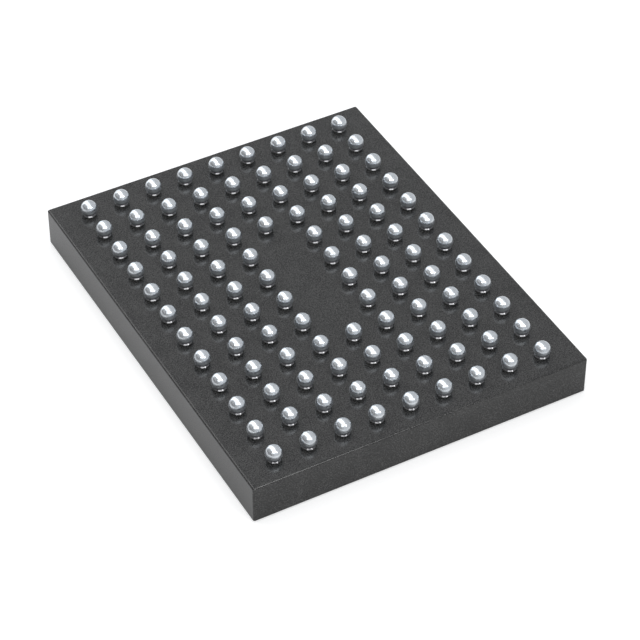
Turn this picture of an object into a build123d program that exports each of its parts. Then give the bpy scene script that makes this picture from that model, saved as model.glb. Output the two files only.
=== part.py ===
from build123d import *
import math
import os

# Chip-scale microcontroller package, lying on its marking side with the solder balls up.
# Millimetres. The origin is the centre of the face that it rests on, X runs along a row
# of balls, Y runs along the long side and Z points up, towards the balls.

# Ball grid
ball_pitch = 0.40
column_count = 9
row_letters = "abcdefghjklm"
core_row_letters = "efgh"
side_margin = 0.39
end_margin = 0.29

# Solder balls and the pads that they sit on
ball_diameter = 0.186
foot_diameter = 0.144
pad_diameter = 0.156
pad_thickness = 0.018

# Layers of the body, from the face that it rests on upwards
back_cover = 0.100
die_thickness = 0.340
passivation_thickness = 0.010
film_thickness = 0.030
wall_thickness = 0.100
edge_radius = 0.022

# Redistribution wiring between the die and the pads
trace_width = 0.020
trace_thickness = 0.008
bond_inset = 0.040

# Every ball and pad has eight flat sides. Each ring of a ball is named by its latitude.
side_count = 8
ring_latitudes = (-22, 22, 58)

# Sizes that follow
row_count = len(row_letters)
middle_column = column_count // 2
body_width = (column_count - 1) * ball_pitch + 2 * side_margin
body_length = (row_count - 1) * ball_pitch + 2 * end_margin
die_width = body_width - 2 * wall_thickness
die_length = body_length - 2 * wall_thickness
mould_height = back_cover + die_thickness + passivation_thickness
ball_face = mould_height + film_thickness
film_edge_radius = min(edge_radius, 0.75 * film_thickness)
ball_radius = ball_diameter / 2
foot_radius = foot_diameter / 2
foot_drop = math.sqrt(ball_radius**2 - foot_radius**2)
ball_centre = ball_face + pad_thickness + foot_drop
# An octagon of this many radii has the same area as the circle that it stands for.
same_area = math.sqrt(2 * math.pi / (side_count * math.sin(2 * math.pi / side_count)))
# Traces from one row share the space up to the next row evenly, with half a step spare.
trace_lean = 1 / (middle_column + 0.5)

os.makedirs("parts", exist_ok=True)


def column_x(column):
    return (column - (column_count - 1) / 2) * ball_pitch


def row_y(row):
    return ((row_count - 1) / 2 - row) * ball_pitch


def columns_in(letter):
    """The middle column has no balls in the core rows."""
    return [c for c in range(column_count) if c != middle_column or letter not in core_row_letters]


def trace_ends(column, row):
    """A trace runs out from its pad to the rim of the die: to the nearer end of the die from
    the end rows and the middle column, and otherwise to the nearer side."""
    x, y = column_x(column), row_y(row)
    outward = math.copysign(1, y)
    end_row = row in (0, row_count - 1)
    if end_row or column == middle_column:
        reach = die_length / 2 - bond_inset - abs(y)
        lean = 0 if end_row else trace_lean * reach
        return (x, y), (x + lean, y + outward * reach)
    reach = die_width / 2 - bond_inset - abs(x)
    return (x, y), (x + math.copysign(reach, x), y + outward * trace_lean * reach)


# Moulded back and walls, open towards the balls, where the die is set in
with BuildPart() as mould:
    with BuildSketch():
        Rectangle(body_width, body_length)
    extrude(amount=mould_height)
    fillet(mould.edges().filter_by(Axis.Z), radius=edge_radius)
    chamfer(mould.faces().sort_by(Axis.Z)[0].edges(), length=edge_radius)
    with BuildSketch(Plane.XY.offset(back_cover)):
        Rectangle(die_width, die_length)
    extrude(amount=mould_height - back_cover, mode=Mode.SUBTRACT)
mould.part.label = "mould_compound"
export_step(mould.part, "parts/mould_compound.step")

with BuildPart() as die:
    with BuildSketch(Plane.XY.offset(back_cover)):
        Rectangle(die_width, die_length)
    extrude(amount=die_thickness)
die.part.label = "silicon_die"
export_step(die.part, "parts/silicon_die.step")

with BuildPart() as passivation:
    with BuildSketch(Plane.XY.offset(back_cover + die_thickness)):
        Rectangle(die_width, die_length)
    extrude(amount=passivation_thickness)
passivation.part.label = "die_passivation"
export_step(passivation.part, "parts/die_passivation.step")

# Film that closes the body on the ball side, relieved underneath for the wiring
with BuildPart() as film:
    with BuildSketch(Plane.XY.offset(mould_height)):
        Rectangle(body_width, body_length)
    extrude(amount=film_thickness)
    fillet(film.edges().filter_by(Axis.Z), radius=edge_radius)
    fillet(film.faces().sort_by(Axis.Z)[-1].edges(), radius=film_edge_radius)
    with BuildSketch(Plane.XY.offset(mould_height)):
        Rectangle(die_width, die_length)
    extrude(amount=trace_thickness, mode=Mode.SUBTRACT)
film.part.label = "ball_side_film"
export_step(film.part, "parts/ball_side_film.step")

# One ball: octagons from its foot on the pad up to its shoulder, closed at the tip
rings = [(-foot_drop, foot_radius)]
for latitude in ring_latitudes:
    angle = math.radians(latitude)
    rings.append((ball_radius * math.sin(angle), ball_radius * math.cos(angle)))
with BuildPart() as ball:
    sections = []
    for height, radius in rings:
        with BuildSketch(Plane.XY.offset(ball_centre + height)) as section:
            RegularPolygon(radius=radius * same_area, side_count=side_count)
        sections.append(section.sketch)
    loft(sections=[*sections, Vertex(0, 0, ball_centre + ball_radius)], ruled=True)

for row, letter in enumerate(row_letters):
    columns = columns_in(letter)
    places = [(column_x(column), row_y(row)) for column in columns]

    with BuildPart() as traces:
        with BuildSketch(Plane.XY.offset(mould_height)):
            with BuildLine():
                for column in columns:
                    Line(*trace_ends(column, row))
            trace(line_width=trace_width)
        extrude(amount=trace_thickness)
    traces.part.label = f"redistribution_traces_row_{letter}"
    export_step(traces.part, f"parts/{traces.part.label}.step")

    with BuildPart() as pads:
        with BuildSketch(Plane.XY.offset(ball_face)):
            with Locations(*places):
                RegularPolygon(radius=pad_diameter / 2 * same_area, side_count=side_count)
        extrude(amount=pad_thickness)
    pads.part.label = f"under_bump_pads_row_{letter}"
    export_step(pads.part, f"parts/{pads.part.label}.step")

    with BuildPart() as balls:
        with Locations(*places):
            add(ball.part)
    balls.part.label = f"solder_balls_row_{letter}"
    export_step(balls.part, f"parts/{balls.part.label}.step")
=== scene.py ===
import math

import bmesh
import bpy
from mathutils import Matrix, Vector


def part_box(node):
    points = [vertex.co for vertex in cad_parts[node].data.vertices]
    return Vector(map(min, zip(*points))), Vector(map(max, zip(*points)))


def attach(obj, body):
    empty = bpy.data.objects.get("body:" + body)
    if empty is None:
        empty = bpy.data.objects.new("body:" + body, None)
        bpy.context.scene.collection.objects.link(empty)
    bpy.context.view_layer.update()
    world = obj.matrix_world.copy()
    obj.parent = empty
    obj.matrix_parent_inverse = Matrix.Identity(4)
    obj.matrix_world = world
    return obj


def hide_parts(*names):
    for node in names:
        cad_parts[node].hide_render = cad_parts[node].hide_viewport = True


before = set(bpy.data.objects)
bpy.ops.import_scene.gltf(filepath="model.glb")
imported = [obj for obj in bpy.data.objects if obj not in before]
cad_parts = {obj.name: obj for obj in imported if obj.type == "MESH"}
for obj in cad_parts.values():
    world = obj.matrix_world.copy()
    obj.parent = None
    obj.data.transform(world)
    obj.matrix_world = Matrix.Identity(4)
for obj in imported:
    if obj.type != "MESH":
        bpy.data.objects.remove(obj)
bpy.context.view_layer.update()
print("frame loaded:", len(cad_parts), "nodes")

mm = 0.001
rowLetters = "abcdefghjklm"
noiseTurn = (0.61, 0.37, 0.83)  # radians about X, Y and Z, so that no flat face lies along the noise's grid
noiseMiddle = 0.5


# A socket of a shader graph. Sums, differences and products of sockets become Math nodes.
class Socket:
    def __init__(self, graph, link):
        self.graph = graph
        self.link = link

    def math(self, operation, first, second):
        return self.graph.add("ShaderNodeMath", {"operation": operation}, {0: first, 1: second})

    def __add__(self, other):
        return self.math("ADD", self, other)

    def __radd__(self, other):
        return self.math("ADD", other, self)

    def __sub__(self, other):
        return self.math("SUBTRACT", self, other)

    def __rsub__(self, other):
        return self.math("SUBTRACT", other, self)

    def __mul__(self, other):
        return self.math("MULTIPLY", self, other)

    def __rmul__(self, other):
        return self.math("MULTIPLY", other, self)


class Graph:
    def __init__(self, tree):
        self.tree = tree
        tree.nodes.clear()

    # Makes one node: its settings come first, then the values or links of its sockets.
    def add(self, kind, settings=None, sockets=None, output=0):
        node = self.tree.nodes.new(kind)
        for name, value in (settings or {}).items():
            setattr(node, name, value)
        for name, value in (sockets or {}).items():
            if isinstance(value, Socket):
                self.tree.links.new(value.link, node.inputs[name])
            else:
                node.inputs[name].default_value = value
        return Socket(self, node.outputs[output]) if len(node.outputs) else node

    # Fades from 0 at the first value to 1 at the second.
    def fade(self, value, start, end):
        return self.add("ShaderNodeMapRange", {"interpolation_type": "SMOOTHSTEP"},
                        {"Value": value, "From Min": start, "From Max": end})

    # A Mix node has its colours in sockets 6 and 7, and its plain values in 2 and 3.
    def mixColour(self, factor, first, second):
        return self.add("ShaderNodeMix", {"data_type": "RGBA"}, {0: factor, 6: first, 7: second}, 2)

    def mixValue(self, factor, first, second):
        return self.add("ShaderNodeMix", {"data_type": "FLOAT"}, {0: factor, 2: first, 3: second})

    def upPart(self, vector):
        return self.add("ShaderNodeSeparateXYZ", {}, {"Vector": vector}, "Z")

    # Noise in the object's own space
    def noise(self, size, detail=2.0, roughness=0.5):
        place = self.add("ShaderNodeTexCoord", output="Object")
        turned = self.add("ShaderNodeMapping", {}, {"Vector": place, "Rotation": noiseTurn})
        sockets = {"Vector": turned, "Scale": 1 / size, "Detail": detail, "Roughness": roughness}
        return self.add("ShaderNodeTexNoise", {}, sockets, "Fac")

    def bump(self, height, depth):
        return self.add("ShaderNodeBump", {}, {"Height": height, "Distance": depth})


# A colour as the sockets take it, at a share of its brightness
def shaded(colour, share=1.0):
    return (*[part * share for part in colour], 1)


def newMaterial(name):
    material = bpy.data.materials.new(name)
    material.use_nodes = True
    return material, Graph(material.node_tree)


def finishMaterial(graph, sockets):
    shader = graph.add("ShaderNodeBsdfPrincipled", {}, sockets)
    graph.add("ShaderNodeOutputMaterial", {}, {"Surface": shader})


# The camera stands where the photograph was taken from: angles in degrees, lengths in millimetres.
cameraSettings = {
    "azimuth": -28.78,
    "elevation": 42.24,
    "distance": 27.634,
    "lookAt": (-0.190, -0.601, 0.480),
    "lens": 145.26,
    "clip": (1, 2000),
}


# A direction away from the object: a turn of 0 goes towards the camera, and 90 to the camera's right.
def direction(turn, elevation):
    angle = math.radians(cameraSettings["azimuth"] + turn)
    rise = math.radians(elevation)
    return Vector((math.sin(angle) * math.cos(rise), -math.cos(angle) * math.cos(rise), math.sin(rise)))


def addCamera(settings):
    back = direction(0, settings["elevation"])
    data = bpy.data.cameras.new("camera")
    data.lens = settings["lens"]
    data.clip_start, data.clip_end = [reach * mm for reach in settings["clip"]]
    camera = bpy.data.objects.new("camera", data)
    camera.location = (Vector(settings["lookAt"]) + back * settings["distance"]) * mm
    camera.rotation_euler = back.to_track_quat("Z", "Y").to_euler()
    bpy.context.scene.collection.objects.link(camera)
    bpy.context.scene.camera = camera


addCamera(cameraSettings)
print("camera set")


# Softboxes: angles in degrees, lengths in millimetres. At level 1 a softbox looks white by itself.
lamps = {
    "overhead": {"turn": 30, "height": 30, "forward": -12, "sideways": -4.5, "length": 68, "width": 24,
                 "level": 1.18, "colour": (1.0, 1.0, 1.0)},
    "front": {"turn": 13, "elevation": 50, "distance": 45, "length": 46, "width": 9,
              "level": 3.7, "colour": (1.0, 1.0, 1.0)},
    "right": {"turn": 50, "elevation": 40, "distance": 45, "length": 7, "width": 7,
              "level": 8.5, "colour": (1.0, 1.0, 1.0)},
    "backLeft": {"turn": -144, "elevation": 20, "distance": 42, "length": 26, "width": 30,
                 "level": 1.0, "colour": (0.93, 0.97, 1.0)},
}


def addSoftbox(name, place, towards, along, settings):
    data = bpy.data.lights.new(name, "AREA")
    data.shape = "RECTANGLE"
    data.size = settings["length"] * mm
    data.size_y = settings["width"] * mm
    data.color = settings["colour"]
    data.energy = settings["level"] * math.pi * data.size * data.size_y
    lamp = bpy.data.objects.new(name, data)
    # a lamp shines along its own -Z, with its length along X
    zAxis = -towards.normalized()
    xAxis = (along - along.dot(zAxis) * zAxis).normalized()
    yAxis = zAxis.cross(xAxis)
    turned = Matrix((xAxis, yAxis, zAxis)).transposed().to_4x4()
    lamp.matrix_world = Matrix.Translation(place * mm) @ turned
    bpy.context.scene.collection.objects.link(lamp)


def addLamps(settings):
    overhead = settings["overhead"]
    up = Vector((0, 0, 1))
    along = direction(overhead["turn"], 0)
    across = direction(overhead["turn"] + 90, 0)
    place = along * overhead["forward"] + across * overhead["sideways"] + up * overhead["height"]
    addSoftbox("overheadSoftbox", place, -up, along, overhead)
    for name in ("front", "right", "backLeft"):
        softbox = settings[name]
        place = direction(softbox["turn"], softbox["elevation"]) * softbox["distance"]
        addSoftbox(name + "Softbox", place, -place, direction(softbox["turn"] + 90, 0), softbox)


# Walls that the balls and the body mirror. The camera sees plain white instead.
walls = {
    "colour": (0.62, 0.63, 0.645),
    "left": {
        "turn": -58,
        "edge": (0.35, 0.65),         # cosines of the angle to its middle, over which it begins
        "dark": (0.20, 0.20, 0.208),
        "pale": (0.52, 0.52, 0.52),
        "clutterScale": 4.5,
        "clutterEdge": (0.40, 0.60),  # noise over which dark turns pale
    },
    "horizon": {"colour": (0.70, 0.70, 0.70), "heights": (0.04, 0.01)},  # sines of the elevation
}


def addWalls(settings):
    world = bpy.data.worlds.new("studioWalls")
    bpy.context.scene.world = world
    world.use_nodes = True
    graph = Graph(world.node_tree)
    outward = graph.add("ShaderNodeTexCoord", output="Generated")
    left = settings["left"]
    leftPart = graph.add("ShaderNodeVectorMath", {"operation": "DOT_PRODUCT"},
                         {0: outward, 1: direction(left["turn"], 0)}, "Value")
    clutter = graph.add("ShaderNodeTexNoise", {}, {"Vector": outward, "Scale": left["clutterScale"]}, "Fac")
    pale = graph.fade(clutter, *left["clutterEdge"])
    leftWall = graph.mixColour(pale, shaded(left["dark"]), shaded(left["pale"]))
    wall = graph.mixColour(graph.fade(leftPart, *left["edge"]), shaded(settings["colour"]), leftWall)
    horizon = settings["horizon"]
    low = graph.fade(graph.upPart(outward), *horizon["heights"])
    around = graph.mixColour(low, wall, shaded(horizon["colour"]))
    seen = graph.add("ShaderNodeLightPath", output="Is Camera Ray")
    colour = graph.mixColour(seen, around, shaded((1, 1, 1)))
    background = graph.add("ShaderNodeBackground", {}, {"Color": colour})
    graph.add("ShaderNodeOutputWorld", {}, {"Surface": background})


# Pale paper under the object
paper = {
    "size": 400,           # mm
    "grey": 0.66,
    "lift": 0.45,
    "mirroredLift": 0.20,  # share of the lift that a reflection shows
    "far": (12, 60),       # mm from the centre, over which the paper turns into an even backdrop
    "farMirrored": 0.72,
}


# The paper is lifted towards white where the camera or a reflection sees it, so that its shadow stays.
# Further out it turns into an even backdrop, because the lamps don't reach that far.
def addPaper(settings):
    half = settings["size"] / 2 * mm
    corners = [(-half, -half, 0), (half, -half, 0), (half, half, 0), (-half, half, 0)]
    mesh = bpy.data.meshes.new("floor")
    mesh.from_pydata(corners, [], [(0, 1, 2, 3)])
    floor = bpy.data.objects.new("floor", mesh)
    bpy.context.scene.collection.objects.link(floor)
    material, graph = newMaterial("paleFloor")
    matt = graph.add("ShaderNodeBsdfDiffuse", {}, {"Color": shaded((1, 1, 1), settings["grey"])})
    seen, mirrored, through = [graph.add("ShaderNodeLightPath", output=f"Is {kind} Ray")
                               for kind in ("Camera", "Glossy", "Transmission")]
    reflected = mirrored + through
    share = seen + settings["mirroredLift"] * reflected
    lift = graph.add("ShaderNodeEmission", {}, {"Strength": share * settings["lift"]})
    near = graph.add("ShaderNodeAddShader", {}, {0: matt, 1: lift})
    backdrop = graph.add("ShaderNodeEmission", {}, {"Strength": seen + settings["farMirrored"] * reflected})
    place = graph.add("ShaderNodeTexCoord", output="Object")
    distance = graph.add("ShaderNodeVectorMath", {"operation": "LENGTH"}, {0: place}, "Value")
    far = graph.fade(distance, *[reach * mm for reach in settings["far"]]) * (seen + reflected)
    surface = graph.add("ShaderNodeMixShader", {}, {0: far, 1: near, 2: backdrop})
    graph.add("ShaderNodeOutputMaterial", {}, {"Surface": surface})
    mesh.materials.append(material)


addLamps(lamps)
addWalls(walls)
addPaper(paper)
print("studio lit")


# Black mould compound: glossy enough to mirror the balls, with the fine grain of its filler.
# An edge is the noise over which a grain turns from its dark shade to its pale one, and the shades are
# shares of the colour. The sawn sides show fewer pale grains, but stronger ones.
compound = {
    "colour": (0.0250, 0.0250, 0.0245),
    "refraction": 1.57,
    "grain": 0.0105,         # mm across one grain
    "cloud": 0.210,          # mm across one cloud of grains
    "cloudShare": 0.12,
    "moulded": {"edge": (0.38, 0.62), "shades": (0.10, 1.90)},
    "sawn": {"edge": (0.46, 0.66), "shades": (0.10, 2.70)},
    "sideEdge": (0.6, 0.2),  # squares of the normal's upward part, over which a face becomes a side
    "roughness": 0.15,
    "roughnessRange": 0.10,
    "bumpDepth": 0.00006,    # mm
}


def grainColour(graph, noise, colour, grains):
    dark, pale = [shaded(colour, share) for share in grains["shades"]]
    return graph.mixColour(graph.fade(noise, *grains["edge"]), dark, pale)


def compoundMaterial(name, settings):
    material, graph = newMaterial(name)
    grain = graph.noise(settings["grain"] * mm)
    cloud = graph.noise(settings["cloud"] * mm)
    noise = (1 - settings["cloudShare"]) * grain + settings["cloudShare"] * cloud
    moulded = grainColour(graph, noise, settings["colour"], settings["moulded"])
    sawn = grainColour(graph, noise, settings["colour"], settings["sawn"])
    upward = graph.upPart(graph.add("ShaderNodeTexCoord", output="Normal"))
    side = graph.fade(upward * upward, *settings["sideEdge"])
    finishMaterial(graph, {
        "Base Color": graph.mixColour(side, moulded, sawn),
        "Roughness": settings["roughness"] + (grain - noiseMiddle) * settings["roughnessRange"],
        "IOR": settings["refraction"],
        "Normal": graph.bump(grain, settings["bumpDepth"] * mm),
    })
    return material


# Solder as it comes out of reflow: bright, a little blue, faintly mottled, with painted shade at the bottom
# of each ball.
# Each "below" is a pair of heights above the ball's centre, in radii, between which a change comes in.
solder = {
    "diameter": 0.186,    # mm
    "footDiameter": 0.144,
    "segments": 48,
    "rings": 26,
    "colour": (0.76, 0.80, 0.84),
    "patchColour": (0.66, 0.695, 0.73),
    "mottle": 0.045,      # mm across one patch
    "mottleDetail": 3.0,
    "mottleRoughness": 0.55,
    "patchEdge": (0.35, 0.65),
    "roughness": (0.18, 0.28),
    "dullBelow": (0.45, -0.15),
    "dullRoughness": 0.22,
    # painted shade that darkens the bottom of each ball: the heights where it comes in, then its colour
    "paintedShadeBelow": (0.00, -0.55),
    "paintedShadeColour": (0.33, 0.35, 0.38),
    "bumpDepth": 0.0006,  # mm
}


def solderMaterial(settings, top):
    material, graph = newMaterial("solder")
    radius = settings["diameter"] / 2 * mm
    mottle = graph.noise(settings["mottle"] * mm, settings["mottleDetail"], settings["mottleRoughness"])
    patches = graph.fade(mottle, *settings["patchEdge"])
    clean = graph.mixColour(patches, shaded(settings["colour"]), shaded(settings["patchColour"]))
    place = graph.add("ShaderNodeTexCoord", output="Object")
    height = (graph.upPart(place) - (top - radius)) * (1 / radius)
    # painted shade: darker towards the bottom of each ball
    paintedShade = graph.fade(height, *settings["paintedShadeBelow"])
    dull = graph.fade(height, *settings["dullBelow"])
    finishMaterial(graph, {
        "Base Color": graph.mixColour(paintedShade, clean, shaded(settings["paintedShadeColour"])),
        "Metallic": 1.0,
        "Roughness": graph.mixValue(patches, *settings["roughness"]) + settings["dullRoughness"] * dull,
        "Normal": graph.bump(mottle, settings["bumpDepth"] * mm),
    })
    return material


# Dark tarnished pads under the balls, with a bevelled rim that mirrors the front lamp
pad = {
    "diameter": 0.156,    # mm
    "bevel": 0.016,
    "segments": 48,
    "colour": (0.17, 0.17, 0.175),
    "scratch": 0.006,     # mm across one fine mark
    "scratchEdge": (0.3, 0.7),
    "scratchShade": 0.8,  # share of the colour that a mark keeps
    "roughness": (0.14, 0.22),
}


def padMaterial(settings):
    material, graph = newMaterial("padMetal")
    worn = graph.fade(graph.noise(settings["scratch"] * mm), *settings["scratchEdge"])
    colour = settings["colour"]
    finishMaterial(graph, {
        "Base Color": graph.mixColour(worn, shaded(colour), shaded(colour, settings["scratchShade"])),
        "Metallic": 1.0,
        "Roughness": graph.mixValue(worn, *settings["roughness"]),
    })
    return material


# The pieces inside, which nothing shows, and the clouds that dull them a little
inside = {
    "silicon": {"colour": (0.24, 0.26, 0.30), "metallic": 0.9, "roughness": 0.10, "cloud": 0.9},
    "passivation": {"colour": (0.42, 0.30, 0.10), "metallic": 0.0, "roughness": 0.25, "cloud": 0.3},
    "traceCopper": {"colour": (0.80, 0.44, 0.28), "metallic": 1.0, "roughness": 0.32, "cloud": 0.02},
}
insideClouds = {"edge": (0.3, 0.7), "shade": 0.85, "roughness": 0.08}


def insideMaterial(name):
    settings = inside[name]
    material, graph = newMaterial(name)
    cloud = graph.fade(graph.noise(settings["cloud"] * mm), *insideClouds["edge"])
    colour = settings["colour"]
    finishMaterial(graph, {
        "Base Color": graph.mixColour(cloud, shaded(colour), shaded(colour, insideClouds["shade"])),
        "Metallic": settings["metallic"],
        "Roughness": settings["roughness"] + insideClouds["roughness"] * cloud,
    })
    return material


# Edges that turn by more than this stay sharp
sharpFrom = math.radians(30)


# Turns a profile of (radius, height) points about each upright axis and joins the results.
def turnedPiece(name, profile, centres, segments, material):
    angles = [2 * math.pi * step / segments for step in range(segments)]
    made = bmesh.new()
    for x, y in centres:
        rings = []
        for radius, height in profile:
            around = angles if radius else angles[:1]  # a point on the axis is one vertex
            rings.append([made.verts.new((x + radius * math.cos(a), y + radius * math.sin(a), height))
                          for a in around])
        for lower, upper in zip(rings, rings[1:]):
            for step in range(segments):
                after = (step + 1) % segments
                corners = [lower[step % len(lower)], lower[after % len(lower)],
                           upper[after % len(upper)], upper[step % len(upper)]]
                made.faces.new(list(dict.fromkeys(corners)))
    for face in made.faces:
        face.smooth = True
    mesh = bpy.data.meshes.new(name)
    made.to_mesh(mesh)
    made.free()
    mesh.set_sharp_from_angle(angle=sharpFrom)
    mesh.materials.append(material)
    piece = bpy.data.objects.new(name, mesh)
    bpy.context.scene.collection.objects.link(piece)
    return piece


placeDigits = 7  # places are read to a ten-thousandth of a millimetre


# The tips of a row's balls, read from the solids of the frame
def ballTips(letter):
    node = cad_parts[f"solder_balls_row_{letter}"]
    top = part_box(node.name)[1][2]
    tips = {(round(v.co.x, placeDigits), round(v.co.y, placeDigits))
            for v in node.data.vertices if v.co.z > top - 10 ** -placeDigits}
    return sorted(tips), top


def ballProfile(settings, top):
    radius = settings["diameter"] / 2 * mm
    footRadius = settings["footDiameter"] / 2 * mm
    centre = top - radius
    footAngle = -math.acos(footRadius / radius)
    profile = [(0, centre + radius * math.sin(footAngle))]
    for ring in range(settings["rings"]):
        angle = footAngle + (math.pi / 2 - footAngle) * ring / settings["rings"]
        profile.append((radius * math.cos(angle), centre + radius * math.sin(angle)))
    return [*profile, (0, top)]


def padProfile(settings, bottom, top):
    radius = settings["diameter"] / 2 * mm
    bevel = settings["bevel"] * mm
    return [(0, bottom), (radius, bottom), (radius, top - bevel), (radius - bevel, top), (0, top)]


# One row of balls and one of pads, which stand for the solids of that row
def addRow(letter, solderFinish, padFinish):
    tips, top = ballTips(letter)
    balls = turnedPiece(f"balls_{letter}", ballProfile(solder, top), tips, solder["segments"], solderFinish)
    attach(balls, "root")
    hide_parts(f"solder_balls_row_{letter}")
    low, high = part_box(f"under_bump_pads_row_{letter}")
    pads = turnedPiece(f"pads_{letter}", padProfile(pad, low[2], high[2]), tips, pad["segments"], padFinish)
    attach(pads, "root")
    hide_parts(f"under_bump_pads_row_{letter}")
    return len(tips)


def addBallsAndPads():
    solderFinish = solderMaterial(solder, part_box("solder_balls_row_a")[1][2])
    padFinish = padMaterial(pad)
    count = sum(addRow(letter, solderFinish, padFinish) for letter in rowLetters)
    print("balls and pads made:", count)


def dressNode(name, material):
    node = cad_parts[name]
    node.data.materials.clear()
    node.data.materials.append(material)


def dressBody():
    dressNode("mould_compound", compoundMaterial("mouldCompound", compound))
    dressNode("ball_side_film", compoundMaterial("ballSideFilm", compound))
    dressNode("silicon_die", insideMaterial("silicon"))
    dressNode("die_passivation", insideMaterial("passivation"))
    copper = insideMaterial("traceCopper")
    for letter in rowLetters:
        dressNode(f"redistribution_traces_row_{letter}", copper)
    print("body dressed")


addBallsAndPads()
dressBody()

bpy.context.scene.view_settings.view_transform = "Standard"
